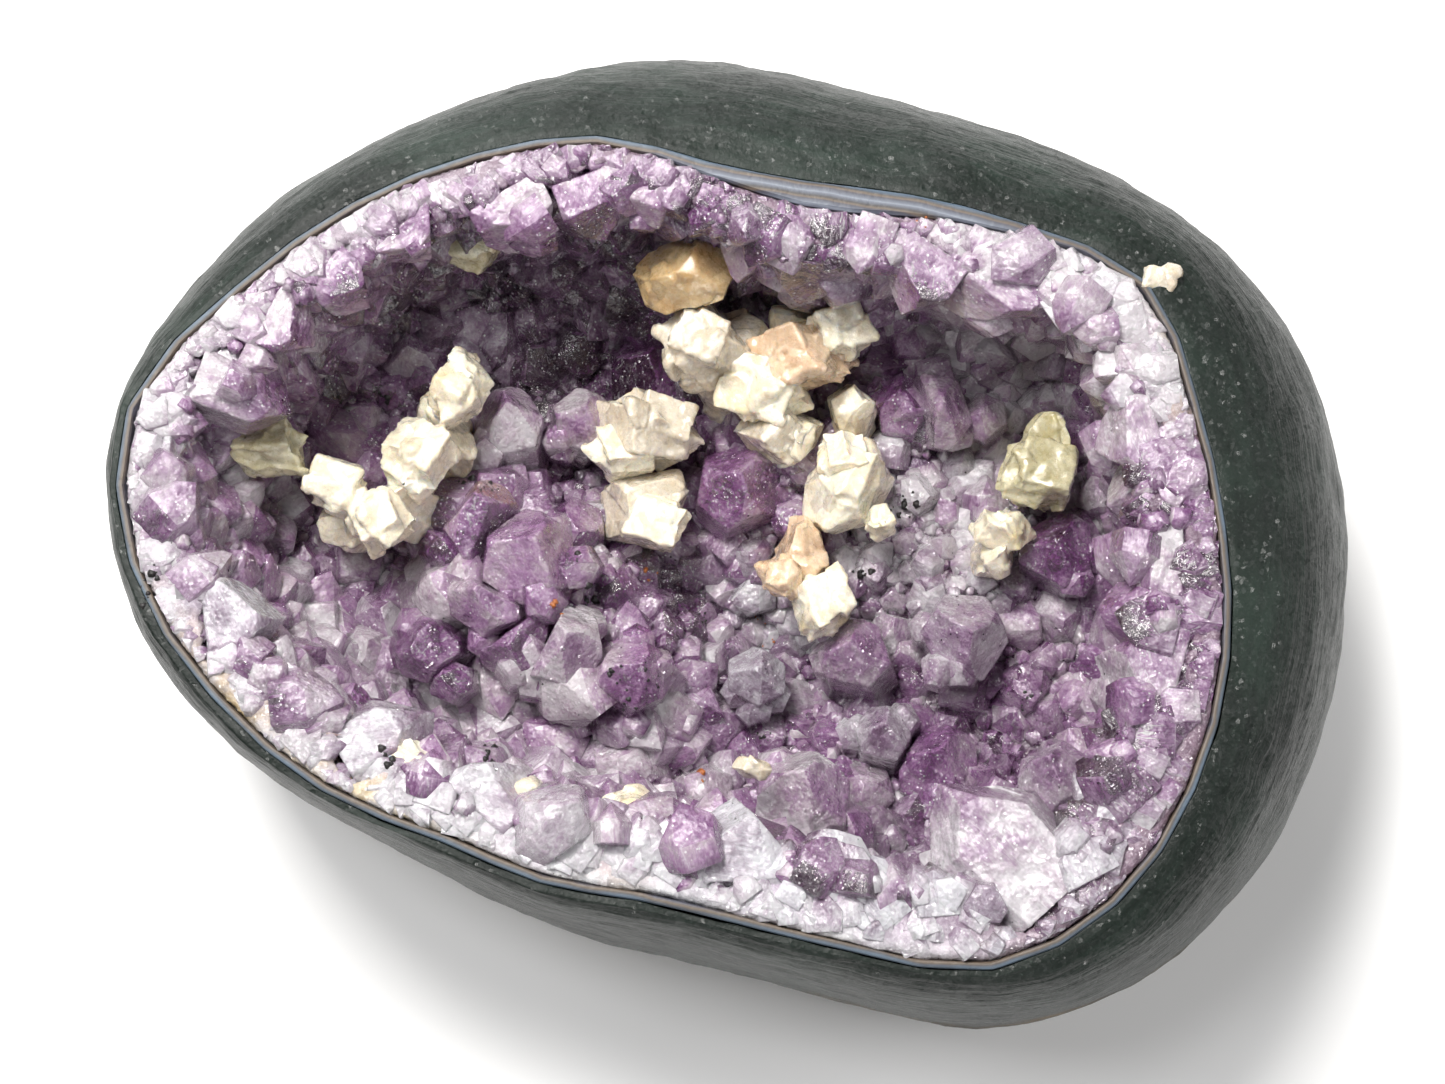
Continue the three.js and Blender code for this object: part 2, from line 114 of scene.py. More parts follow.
class Nodes:
    """Short calls for wiring one material."""

    def __init__(self, name):
        self.material = bpy.data.materials.new(name)
        self.material.use_nodes = True
        self.tree = self.material.node_tree
        self.shader = self.tree.nodes["Principled BSDF"]

    def add(self, kind, **settings):
        node = self.tree.nodes.new(kind)
        inputs = settings.pop("inputs", {})
        for key, value in settings.items():
            setattr(node, key, value)
        for key, value in inputs.items():
            if isinstance(value, bpy.types.NodeSocket):
                self.tree.links.new(value, node.inputs[key])
            else:
                node.inputs[key].default_value = value
        return node

    def place(self, scale=(1, 1, 1)):
        source = self.add("ShaderNodeTexCoord").outputs["Object"]
        return self.add("ShaderNodeMapping", inputs={"Vector": source, "Scale": scale}).outputs[0]

    def attribute(self, name, output="Fac"):
        return self.add("ShaderNodeAttribute", attribute_name=name).outputs[output]

    def noise(self, vector, scale, detail=4.0, roughness=0.55, distortion=0.0):
        return self.add("ShaderNodeTexNoise", inputs={
            "Vector": vector, "Scale": scale, "Detail": detail, "Roughness": roughness,
            "Distortion": distortion}).outputs["Fac"]

    def voronoi(self, vector, scale, feature="F1", output="Distance", **more):
        return self.add("ShaderNodeTexVoronoi", feature=feature, inputs={
            "Vector": vector, "Scale": scale, **more}).outputs[output]

    def ramp(self, value, *stops, ease="LINEAR"):
        node = self.add("ShaderNodeValToRGB", inputs={"Fac": value})
        node.color_ramp.interpolation = ease
        elements = node.color_ramp.elements
        while len(elements) < len(stops):
            elements.new(1.0)
        for element, (place, colour) in zip(elements, stops):
            element.position = place
            element.color = (*colour, 1) if isinstance(colour, tuple) else (colour,) * 3 + (1,)
        return node.outputs["Color"]

    def math(self, operation, *values):
        node = self.add("ShaderNodeMath", operation=operation)
        for socket, value in zip(node.inputs, values):
            if isinstance(value, bpy.types.NodeSocket):
                self.tree.links.new(value, socket)
            else:
                socket.default_value = value
        return node.outputs[0]

    def mix(self, factor, first, second, blend="MIX"):
        node = self.add("ShaderNodeMix", data_type="RGBA", blend_type=blend)
        for socket, value in zip((node.inputs[0], node.inputs[6], node.inputs[7]),
                                 (factor, first, second)):
            if isinstance(value, bpy.types.NodeSocket):
                self.tree.links.new(value, socket)
            else:
                socket.default_value = (*value, 1) if isinstance(value, tuple) else value
        return node.outputs[2]

    def bump(self, height, distance, strength=1.0, normal=None):
        inputs = {"Height": height, "Distance": distance, "Strength": strength}
        if normal is not None:
            inputs["Normal"] = normal
        return self.add("ShaderNodeBump", inputs=inputs).outputs[0]

    def facets(self, vector, scale, tilt, normal):
        """Breaks a surface into small flat faces, each tilted its own way, that flash one by one."""
        cells = self.voronoi(vector, scale, "F1", "Color")
        centred = self.add("ShaderNodeVectorMath", operation="SUBTRACT",
                           inputs={0: cells, 1: (0.5, 0.5, 0.5)}).outputs[0]
        lean = self.add("ShaderNodeVectorMath", operation="SCALE",
                        inputs={0: centred, "Scale": tilt}).outputs[0]
        leaned = self.add("ShaderNodeVectorMath", operation="ADD",
                          inputs={0: normal, 1: lean}).outputs[0]
        return self.add("ShaderNodeVectorMath", operation="NORMALIZE", inputs={0: leaned}).outputs[0]

    def wire(self, **sockets):
        for key, value in sockets.items():
            socket = self.shader.inputs[key.replace("_", " ")]
            if isinstance(value, bpy.types.NodeSocket):
                self.tree.links.new(value, socket)
            else:
                socket.default_value = value
        return self.material


def paint(red, green, blue):
    """A colour given as 0 to 255 on a paint chart, as the shader wants it."""
    return tuple((c / 255 / 12.92 if c < 10 else ((c / 255 + 0.055) / 1.055) ** 2.4)
                 for c in (red, green, blue))


def basalt_finish():
    m = Nodes("ground_basalt")
    lines = m.noise(m.place((30, 30, 1400)), 1.0, detail=3.0)
    cloud = m.noise(m.place(), 28.0, detail=6.0, roughness=0.62)
    grain = m.noise(m.place(), 1500.0, detail=3.0, roughness=0.7)
    skin = m.ramp(m.math("ADD", m.math("MULTIPLY", cloud, 0.7), m.math("MULTIPLY", lines, 0.3)),
                  (0.32, paint(8, 13, 11)), (0.5, paint(17, 26, 21)), (0.68, paint(32, 45, 38)))
    raw = m.ramp(m.noise(m.place(), 55.0, detail=8.0, roughness=0.7),
                 (0.34, paint(30, 28, 24)), (0.5, paint(66, 56, 42)), (0.66, paint(104, 86, 60)))
    edge = m.math("ADD", m.attribute("raw"), m.math("MULTIPLY", m.math("SUBTRACT", cloud, 0.5), 1.6))
    low = m.ramp(edge, (0.35, 0.0), (0.7, 1.0))
    colour = m.mix(low, skin, raw)
    flecks = m.ramp(grain, (0.62, 0.0), (0.74, 1.0))
    colour = m.mix(m.math("MULTIPLY", flecks, 0.35), colour, paint(86, 100, 92))
    rough = m.math("ADD", m.math("MULTIPLY", low, 0.3),
                   m.math("ADD", 0.36, m.math("MULTIPLY", grain, 0.22)))
    relief = m.math("ADD", m.math("MULTIPLY", grain, 0.35),
                    m.math("ADD", lines, m.math("MULTIPLY", cloud, 0.8)))
    pits = m.ramp(m.voronoi(m.place(), 260.0), (0.08, 0.0), (0.22, 1.0))
    normal = m.bump(relief, 0.0005, 0.8, m.bump(pits, 0.0004, 0.35))
    return m.wire(Base_Color=colour, Roughness=rough, Normal=normal, Specular_IOR_Level=0.25,
                  Coat_Weight=0.22, Coat_Roughness=0.2,
                  Coat_Normal=m.facets(m.place(), 1300.0, 1.5, normal))


def round_off(piece, crease_above, crease, levels):
    """Turns a faceted piece into a smooth one that keeps its sawn edges and its foot."""
    form = bmesh.new()
    form.from_mesh(piece.data)
    bmesh.ops.remove_doubles(form, verts=form.verts, dist=1e-6)
    bmesh.ops.join_triangles(form, faces=form.faces, angle_face_threshold=3.1, angle_shape_threshold=3.1)
    sharp = form.edges.layers.float.new("crease_edge")
    for edge in form.edges:
        if all(v.co.z > crease_above for v in edge.verts):
            edge[sharp] = crease
        if all(v.co.z < 0.1 * MM for v in edge.verts):
            edge[sharp] = 0.8
    form.to_mesh(piece.data)
    form.free()
    rounded = piece.modifiers.new("round", "SUBSURF")
    rounded.levels = rounded.render_levels = levels
    apply_modifiers(piece)


def direction_of(points, middle):
    """Directions of points seen from above, in degrees from +X."""
    return np.degrees(np.arctan2(points[:, 1] - middle[1], points[:, 0] - middle[0]))


skin = copy_of_node("basalt_shell", "basalt_skin")
round_off(skin, CUT_Z - 2 * MM, 0.55, 3)
where, facing = points_of(skin.data), normals_of(skin.data)
lumps = fractal(where, 26 * MM, 1) * 0.9 + fractal(where, 7 * MM, 2) * 0.35
lumps += fractal(where * (1, 1, 6), 9 * MM, 3) * 0.25
free = np.clip((where[:, 2] - 0.4 * MM) / (3 * MM), 0, 1)
near_right = np.exp(-((direction_of(where, where.mean(0)) + 40) / 34) ** 2)
raw = np.clip((ROUGH_ROCK_TOP + near_right * 34 * MM - where[:, 2]) / (22 * MM) + 0.5, 0, 1)
rough_rock = np.clip((ROUGH_ROCK_TOP - where[:, 2]) / (10 * MM), 0, 1)
lumps += rough_rock * fractal(where, 5 * MM, 4) * 0.9
set_points(skin.data, where + facing * (lumps * free * 0.8 * MM)[:, None])
put(skin.data, "raw", raw)
smooth_faces(skin.data)
skin.data.materials.append(basalt_finish())
keep(skin, "basalt", "basalt_shell")


# The agate line is chalcedony, laid down in thin bands on the bubble's wall before the quartz.
# On the cut it shows as a blue-white line, which swells into a banded lens on the far side.
def agate_finish():
    m = Nodes("banded_agate")
    waver = m.math("MULTIPLY", m.math("SUBTRACT", m.noise(m.place(), 60.0), 0.5), 1.4)
    depth = m.math("ADD", m.attribute("depth"), waver)
    bands = m.ramp(m.math("FRACT", m.math("MULTIPLY", depth, 0.42)),
                   (0.0, paint(104, 110, 122)), (0.18, paint(76, 80, 90)),
                   (0.34, paint(58, 54, 54)), (0.5, paint(96, 84, 72)),
                   (0.62, paint(66, 66, 76)), (0.84, paint(92, 98, 110)),
                   (1.0, paint(122, 128, 138)))
    edge = m.ramp(depth, (0.5, 1.0), (1.1, 0.0))
    colour = m.mix(edge, bands, paint(80, 94, 108))
    fine = m.noise(m.place(), 900.0)
    return m.wire(Base_Color=colour, Roughness=m.math("ADD", 0.38, m.math("MULTIPLY", fine, 0.25)),
                  Normal=m.bump(fine, 0.0002, 0.5), Subsurface_Weight=0.25,
                  Subsurface_Radius=(0.0015, 0.0015, 0.002))


def tree_of(name):
    """A CAD node's faces, ready to be searched for the nearest point or for a ray's first hit."""
    mesh = nodes[name].data
    return BVHTree.FromPolygons([v.co[:] for v in mesh.vertices], [p.vertices[:] for p in mesh.polygons])


shell_tree = tree_of("basalt_shell")
lining = copy_of_node("agate_lining", "agate_line")
round_off(lining, CUT_Z - 2 * MM, 0.95, 3)
where, facing = points_of(lining.data), normals_of(lining.data)
put(lining.data, "depth", [shell_tree.find_nearest(Vector(p))[3] / MM for p in where])
set_points(lining.data, where + facing * 0.3 * MM)
lining.data.polygons.foreach_set("use_smooth", [False] * len(lining.data.polygons))
lining.data.materials.append(agate_finish())
keep(lining, "agate", "agate_lining")


# The quartz bed is one crust of crystals that grew inwards from the agate. Near the agate it is
# white and sugary, then it clears into pale lavender blocks, and where the saw crossed it, it is
# dressed smooth in patches. Inside the cavity it is hidden under the druse that grew on it.
def quartz_finish():
    m = Nodes("sawn_quartz")
    inward, stain, lilac_and_painted_shade = m.attribute("inward"), m.attribute("stain"), m.attribute("lilac_and_painted_shade")
    cloud = m.noise(m.place(), 90.0, detail=6.0, roughness=0.65)
    sugar = m.noise(m.place(), 800.0, detail=4.0, roughness=0.75)
    grains = m.voronoi(m.place(), 420.0, "F1", "Color")
    reach = m.math("ADD", inward, m.math("MULTIPLY", m.math("SUBTRACT", cloud, 0.5), 1.1))
    base = m.ramp(reach, (0.0, paint(206, 206, 208)), (0.3, paint(186, 178, 188)),
                  (0.6, paint(156, 134, 158)), (0.95, paint(108, 74, 110)))
    grain = m.add("ShaderNodeSeparateColor", inputs={"Color": grains}).outputs[0]
    colour = m.mix(m.math("MULTIPLY", grain, 0.4), base, paint(138, 128, 142))
    white = m.math("MULTIPLY", m.ramp(sugar, (0.5, 0.0), (0.7, 1.0)), 0.55)
    colour = m.mix(white, colour, paint(230, 229, 232))
    yellow = m.math("MULTIPLY", stain, m.ramp(cloud, (0.4, 0.0), (0.6, 1.0)))
    colour = m.mix(yellow, colour, paint(196, 176, 132))
    # Multiplied towards lilac where the rim's tone is deep: partly the crystals' own lilac, partly
    # painted shade.
    colour = m.mix(lilac_and_painted_shade, colour, paint(160, 134, 150), "MULTIPLY")
    rough = m.math("ADD", 0.12, m.math("MULTIPLY", m.ramp(sugar, (0.4, 0.0), (0.7, 1.0)), 0.4))
    relief = m.math("ADD", m.math("MULTIPLY", sugar, 0.8), m.math("MULTIPLY", grain, 0.6))
    bumpy = m.bump(relief, 0.0006, 0.7)
    return m.wire(Base_Color=colour, Roughness=rough, Normal=m.facets(m.place(), 620.0, 0.5, bumpy),
                  IOR=1.544, Coat_Weight=1.0, Coat_Roughness=0.08, Coat_IOR=1.9,
                  Coat_Normal=m.facets(m.place(), 2400.0, 2.0, bumpy), Subsurface_Weight=0.3,
                  Subsurface_Radius=(0.003, 0.0028, 0.0032))


# Places and directions in the cavity are counted from its middle, at the height of the saw cut.
agate_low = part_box("agate_lining")[0]
RIM_MIDDLE = Vector((agate_low.x + 117.2 * MM, agate_low.y + 70.2 * MM, CUT_Z))

# Yellow iron stains on the rim: direction in degrees, strength, spread in degrees.
RIM_STAINS = [(-146, 1.0, 12), (-128, 0.8, 10), (32, 0.7, 8), (-95, 0.3, 8)]


def off_direction(angles, middle):
    return (angles - middle + 180) % 360 - 180


# Rim zones: direction in degrees, spread, tone, hue, size of the blocks in mm. On the far rim,
# from 85 to 140 degrees, the deep tone is partly the crystals' own colour and partly painted
# shade; near -32 degrees the deeper, greyer tone is painted shade.
RIM_ZONES = [(180, 25, 0.1, 0.3, 5.5), (140, 22, 0.35, 0.3, 5.0), (110, 18, 0.88, 0.35, 5.5),
             (85, 15, 0.9, 0.3, 6.0), (60, 12, 0.12, 0.2, 5.5), (40, 12, -0.3, 0.3, 5.0),
             (15, 14, 0.88, 0.3, 7.5), (-10, 16, 0.9, 0.25, 7.5), (-32, 14, 0.65, 0.75, 4.5),
             (-55, 16, -0.05, 0.75, 5.5), (-85, 18, -0.2, 0.6, 5.0), (-115, 16, -0.2, 0.5, 5.0),
             (-150, 16, 0.0, 0.4, 5.0)]


def rim_zone(direction):
    total, blend = 1e-6, [0.0, 0.0, 0.0]
    for angle, spread, *values in RIM_ZONES:
        weight = math.exp(-(off_direction(direction, angle) / spread) ** 2)
        total += weight
        blend = [b + weight * v for b, v in zip(blend, values)]
    return [b / total for b in blend]


def voxel_remesh(piece, size):
    remesh = piece.modifiers.new("even", "REMESH")
    remesh.mode = "VOXEL"
    remesh.voxel_size = size
    apply_modifiers(piece)


lining_tree = tree_of("agate_lining")
bed_tree = tree_of("quartz_bed")
CRUST_GRAIN = 1.35 * MM
bed = copy_of_node("quartz_bed", "quartz_crust")
round_off(bed, CUT_Z - 2 * MM, 0.95, 1)
voxel_remesh(bed, CRUST_GRAIN)
where, facing = points_of(bed.data), normals_of(bed.data)
behind = np.array([lining_tree.find_nearest(Vector(p))[3] for p in where]) / MM
inner = np.clip((behind - 1.0) / 3, 0, 1)
relief = fractal(where, 6 * MM, 11) + fractal(where, 2.4 * MM, 12)
set_points(bed.data, where + facing * ((inner * 0.8 + 0.2) * (relief - 0.3) * MM)[:, None])
inward = np.clip(behind / 15, 0, 1)
directions = direction_of(where, RIM_MIDDLE)
stain = sum(s * np.exp(-(off_direction(directions, a) / w) ** 2) for a, s, w in RIM_STAINS)
put(bed.data, "inward", inward)
put(bed.data, "stain", stain * (1 - inward))
# The rim zone's tone, painted shade on the far rim and near -32 degrees included.
put(bed.data, "lilac_and_painted_shade", [min(1, max(0, (rim_zone(a)[0] + 0.15) * 1.6)) for a in directions])
smooth_faces(bed.data)
bed.data.materials.append(quartz_finish())
keep(bed, "quartz", "quartz_bed")


# Amethyst is quartz stained violet by iron. Each crystal is a short six-sided prism with a
# point. It is cloudy in places and deepest violet in its core. On the rim's crystals it is pale
# at the root; on the others the root is painted darker, as painted shade in the gaps between
# crystals. Each face is also painted lighter or darker as painted light, and the bevelled edges
# paler as a painted highlight.
def amethyst_finish():
    m = Nodes("amethyst")
    along, core, tone, hue = (m.attribute(n) for n in ("along", "core", "tone", "hue"))
    facet_painted_light, edge = m.attribute("facet_painted_light"), m.attribute("edge")
    inside = m.attribute("grain", "Vector")
    stretched = m.add("ShaderNodeMapping", inputs={"Vector": inside, "Scale": (1, 1, 0.3)}).outputs[0]
    hairs = m.noise(stretched, 0.9, detail=3.0, roughness=0.6, distortion=1.2)
    clouds = m.noise(inside, 0.17, detail=3.0, roughness=0.6)
    crumbs = m.noise(inside, 1.9, detail=4.0, roughness=0.7)

    def swing(value, much):
        return m.math("MULTIPLY", m.math("SUBTRACT", value, 0.5), much)

    depth = m.math("ADD", m.math("MULTIPLY", tone, 0.8), m.math("MULTIPLY", core, 0.4))
    # Deeper towards the root: painted shade in the gaps between crystals. On the rim's crystals, whose
    # along is flipped, this makes the root pale instead.
    depth = m.math("ADD", depth, m.math("MULTIPLY", m.math("SUBTRACT", 0.8, along), 0.45))
    depth = m.math("ADD", depth, m.math("ADD", swing(hairs, 0.95), swing(clouds, 1.0)))
    # Each face's own random tone, lighter or darker: painted light, as if each face caught the light its
    # own way.
    depth = m.math("ADD", depth, m.math("ADD", swing(facet_painted_light, 0.45), swing(crumbs, 0.3)))
    violet = m.ramp(depth, (0.0, paint(222, 214, 219)), (0.22, paint(204, 184, 198)),
                    (0.48, paint(178, 136, 178)), (0.74, paint(128, 68, 130)), (1.0, paint(60, 20, 56)))
    cool = m.ramp(depth, (0.0, paint(226, 226, 232)), (0.3, paint(178, 172, 184)),
                  (0.65, paint(106, 88, 100)), (1.0, paint(46, 32, 38)))
    colour = m.mix(hue, violet, cool)
    milk = m.math("MULTIPLY", m.ramp(hairs, (0.54, 0.0), (0.66, 1.0)),
                  m.ramp(clouds, (0.4, 0.7), (0.55, 0.1)))
    colour = m.mix(milk, colour, paint(228, 220, 228))
    # Bevelled edges painted paler: a painted highlight.
    colour = m.mix(m.math("MULTIPLY", edge, 0.07), colour, paint(232, 222, 230))
    rust = m.math("MULTIPLY", m.attribute("rust"), m.ramp(crumbs, (0.4, 0.2), (0.6, 1.0)))
    colour = m.mix(rust, colour, paint(176, 122, 72))
    # Sparse near-white dots in patches: painted glints.
    glint_patches = m.ramp(m.noise(inside, 0.3, detail=2.0), (0.42, 0.0), (0.56, 1.0))
    painted_glints = m.math("MULTIPLY", glint_patches, m.ramp(m.voronoi(inside, 0.75), (0.12, 1.0), (0.2, 0.0)))
    colour = m.mix(painted_glints, colour, paint(252, 250, 252))
    rough = m.math("ADD", 0.1, m.math("MULTIPLY", m.ramp(clouds, (0.5, 0.0), (0.7, 1.0)), 0.15))
    relief = m.bump(crumbs, 0.0003, 0.6, m.bump(clouds, 0.003, 0.6))
    normal = m.facets(inside, 0.55, 0.3, relief)
    glittery = m.ramp(m.noise(inside, 0.3, detail=2.0), (0.46, 0.12), (0.58, 1.0))
    flashes = m.facets(inside, 2.4, m.math("MULTIPLY", glittery, 2.0), relief)
    return m.wire(Base_Color=colour, Roughness=rough, Normal=normal, IOR=1.544,
                  Transmission_Weight=0.45, Subsurface_Weight=0.35,
                  Subsurface_Radius=(0.004, 0.003, 0.0038), Coat_Weight=1.0,
                  Coat_Roughness=0.07, Coat_IOR=1.9, Coat_Normal=flashes)


TIP_TILT = math.radians(51.8)  # from a crystal's axis to a tip face's normal


def cut_form(form, planes):
    for normal, far in planes:
        normal = Vector(normal).normalized()
        cut = bmesh.ops.bisect_plane(form, geom=[*form.verts, *form.edges, *form.faces], dist=1e-5,
                                     plane_co=normal * far, plane_no=normal, clear_outer=True)
        rim = [g for g in cut["geom_cut"] if isinstance(g, bmesh.types.BMEdge)]
        if rim:
            bmesh.ops.edgeloop_fill(form, edges=rim)


def crystal_shape(pick, length, bevel, more=()):
    """A crystal of radius 1 with its tip at the origin: points, faces, and each face's painted light
    tone and painted edge highlight.
    """
    planes = [((0, 0, -1), length), *more]
    for k in range(6):
        out = Vector((math.cos(k * math.pi / 3), math.sin(k * math.pi / 3), 0))
        planes.append((out, pick.uniform(0.8, 1.1)))
        tip = out * math.sin(TIP_TILT) + Vector((0, 0, math.cos(TIP_TILT)))
        planes.append((tip, pick.uniform(-0.08, 0.06) if k % 2 else pick.uniform(0.05, 0.3)))
    form = bmesh.new()
    bmesh.ops.create_cube(form, size=2)
    for v in form.verts:
        v.co = Vector((v.co.x * 2, v.co.y * 2, v.co.z * (length + 2)))
    cut_form(form, planes)
    bmesh.ops.remove_doubles(form, verts=form.verts, dist=1e-4)
    return finished_form(form, pick, bevel)


def finished_form(form, pick, bevel):
    # Each face gets a random tone as painted light; the bevel's faces are marked for a painted
    # highlight.
    shade = form.faces.layers.float.new("facet_painted_light")
    bevel_highlight = form.faces.layers.float.new("edge")
    for face in form.faces:
        face[shade] = pick.random()
    if bevel:
        made = bmesh.ops.bevel(form, geom=form.edges[:], offset=bevel, segments=1, affect="EDGES",
                               profile=0.6, clamp_overlap=True)
        for face in made["faces"]:
            face[bevel_highlight] = 1.0
    form.verts.index_update()
    points = np.array([v.co for v in form.verts])
    faces = [[v.index for v in f.verts] for f in form.faces]
    shades = [(f[shade], f[bevel_highlight]) for f in form.faces]
    form.free()
    return points, faces, shades


class Cluster:
    """Many crystals gathered into one mesh, each with its own shade of the finish."""

    def __init__(self):
        self.columns = {n: [] for n in ("points", "along", "core", "tone", "hue", "grain", "shade")}
        self.faces, self.count = [], 0

    def add(self, shape, tip, turn, size, tone, hue, pick, pale_root=False):
        points, faces, shades = shape
        local = points * size
        keep_to = self.columns
        keep_to["points"].append(local @ np.array(turn).T + np.array(tip))
        along = np.clip(1 + points[:, 2] / 2.2, 0, 1)
        keep_to["along"].append(1.2 - along if pale_root else along)
        keep_to["core"].append(np.clip(1 - np.hypot(points[:, 0], points[:, 1]), 0, 1))
        keep_to["tone"].append(np.full(len(points), tone))
        keep_to["hue"].append(np.full(len(points), hue))
        keep_to["grain"].append(local / MM + np.array([pick.uniform(-500, 500) for _ in range(3)]))
        keep_to["shade"].extend(shades)
        self.faces.extend([v + self.count for v in face] for face in faces)
        self.count += len(points)

    def make(self, name, finish):
        mesh = bpy.data.meshes.new(name)
        sizes = [len(f) for f in self.faces]
        mesh.vertices.add(self.count)
        mesh.loops.add(sum(sizes))
        mesh.polygons.add(len(sizes))
        mesh.vertices.foreach_set("co", np.concatenate(self.columns["points"]).ravel())
        mesh.loops.foreach_set("vertex_index", [v for f in self.faces for v in f])
        mesh.polygons.foreach_set("loop_start", np.cumsum([0] + sizes[:-1]))
        mesh.polygons.foreach_set("loop_total", sizes)
        mesh.update(calc_edges=True)
        for label in ("along", "core", "tone", "hue"):
            put(mesh, label, np.concatenate(self.columns[label]))
        put(mesh, "grain", np.concatenate(self.columns["grain"]), kind="FLOAT_VECTOR")
        shade = np.array(self.columns["shade"])
        # Each face's painted light tone and its painted edge highlight.
        put(mesh, "facet_painted_light", shade[:, 0], "FACE")
        put(mesh, "edge", shade[:, 1], "FACE")
        mesh.materials.append(finish)
        piece = bpy.data.objects.new(name, mesh)
        bpy.context.scene.collection.objects.link(piece)
        return piece


def turn_to(axis, spin):
    return Vector((0, 0, 1)).rotation_difference(axis).to_matrix() @ Matrix.Rotation(spin, 3, "Z")


AMETHYST = amethyst_finish()


# The rim's own crystals lie flat with their points to the cavity, and the saw has opened their
# backs. Next to the agate they are no more than coarse white grains.
def outward_hit(tree, heading, depth):
    """How far it is from the cavity's middle to a wall, at a depth below the saw cut."""
    start = Vector((RIM_MIDDLE.x, RIM_MIDDLE.y, CUT_Z - depth))
    return tree.ray_cast(start, heading)[3]


def rim_crystals():
    pick = random.Random(31)
    cluster = Cluster()
    direction = 0.0
    while direction < 360:
        heading = Vector((math.cos(math.radians(direction)), math.sin(math.radians(direction)), 0))
        agate = outward_hit(lining_tree, heading, 3 * MM)
        mouth = outward_hit(bed_tree, heading, 1.5 * MM) or agate - 12 * MM
        width = agate - mouth
        tone, hue, block = rim_zone(direction)
        # Four rows from the agate inwards: place across the rim, share of the size and of the tone.
        rows = [(0.55, 0.5, 0.8), (0.32, 0.7, 0.9), (0.08, 0.95, 0.95), (-0.14, 0.9, 1.0)]
        for reach, share, depth in rows:
            size = block * share * pick.uniform(0.6, 1.15) * MM
            size = min(size, 0.45 * width)
            at = mouth + width * (reach + pick.uniform(-0.14, 0.14)) - size * 0.6
            length = min(2.2, (agate - at - 1.5 * MM) / size)
            if length < 0.7:
                continue
            spot = RIM_MIDDLE + heading * at
            spot.z = CUT_Z - pick.uniform(0.15, 0.8) * size
            lean = Vector((pick.gauss(0, 0.32), pick.gauss(0, 0.32), pick.gauss(0.22, 0.25)))
            axis = (-heading + lean).normalized()
            turn = turn_to(axis, pick.uniform(0, 6.3))
            saw = Vector((pick.gauss(0, 0.06), pick.gauss(0, 0.06), 1)).normalized()
            height = CUT_Z + pick.uniform(-0.2, 0.9) * MM
            local_saw = turn.transposed() @ saw
            far = saw.dot(Vector((spot.x, spot.y, height)) - spot) / size
            if far < 0.1:
                continue
            shape = crystal_shape(pick, length, 0.04, [(local_saw, far)])
            if len(shape[0]) < 6:
                continue
            # The zone's tone, with its painted shade on the far rim and near -32 degrees.
            shade = tone * depth + pick.uniform(-0.2, 0.14)
            cluster.add(shape, spot, turn, size, shade, min(1, max(0, hue + pick.uniform(-0.2, 0.2))),
                        pick, True)
        direction += math.degrees(block * 0.62 * MM / mouth)
    return cluster


rim = rim_crystals().make("rim_blocks", AMETHYST)
keep(rim, "quartz")


# The druse: small amethysts that cover the whole of the cavity's wall and floor. They are
# largest round the hill and the trough, and fine as sugar on the plateau to its right.
dice = random.Random(5)
SHAPES = [crystal_shape(dice, 2.2, 0.05) for _ in range(36)]
FINE_SHAPES = [crystal_shape(dice, 2.2, 0) for _ in range(20)]

# Where the druse is special: place [x, y] from the cavity's middle in mm, reach, size, tone, hue.
# Their tones are partly the crystals' own colour and partly painted light: they are set paler
# where the cavity is deep, most of all on the plateau near (45, 14) and under the far rim near
# (45, 44), where the walls keep the light out.
DRUSE_PATCHES = [
    ((-50, 38), 26, 4.4, 0.98, 0.55),
    ((-80, 14), 20, 4.6, 0.5, 0.1),
    ((-88, -14), 20, 4.0, 0.15, 0.1),
    ((45, 14), 20, 2.4, -0.15, 0.45),
    ((14, -6), 13, 2.2, -0.1, 0.6),
    ((-12, -6), 9, 3.6, 1.0, 0.3),
    ((-8, 20), 12, 3.4, 0.5, 0.2),
    ((45, 44), 18, 3.4, -0.1, 0.2),
    ((62, -18), 18, 5.4, 0.6, 0.05),
    ((20, -30), 18, 5.2, 0.5, 0.05),
    ((-42, -6), 20, 6.0, 0.1, 0.0),
    ((-52, -30), 16, 4.8, 0.0, 0.3),
    ((-20, -34), 16, 5.6, 0.2, 0.0),
    ((-14, -52), 18, 4.8, -0.05, 0.3),
    ((70, -50), 20, 3.4, 0.1, 0.8),
    ((84, 6), 16, 5.6, 0.3, 0.0),
]


def druse_at(x, y):
    """Size, tone and hue of the druse at a place, blended from the patches near it."""
    # The tone where no patch reaches is set paler too: painted light.
    total, size, tone, hue = 0.25, 4.2 * 0.25, 0.4 * 0.25, 0.15 * 0.25
    for (px, py), reach, s, t, h in DRUSE_PATCHES:
        weight = math.exp(-((x - px) ** 2 + (y - py) ** 2) / reach ** 2)
        total, size, tone, hue = total + weight, size + s * weight, tone + t * weight, hue + h * weight
    return size / total, tone / total, hue / total


BIG = ("rim_amethyst", "cavity_amethyst", "calcite")
big_trees = [tree_of(name) for name in sorted(nodes) if name.startswith(BIG)]


def clear_of_big(point, reach):
    return all(t.find_nearest(point, reach)[0] is None for t in big_trees)


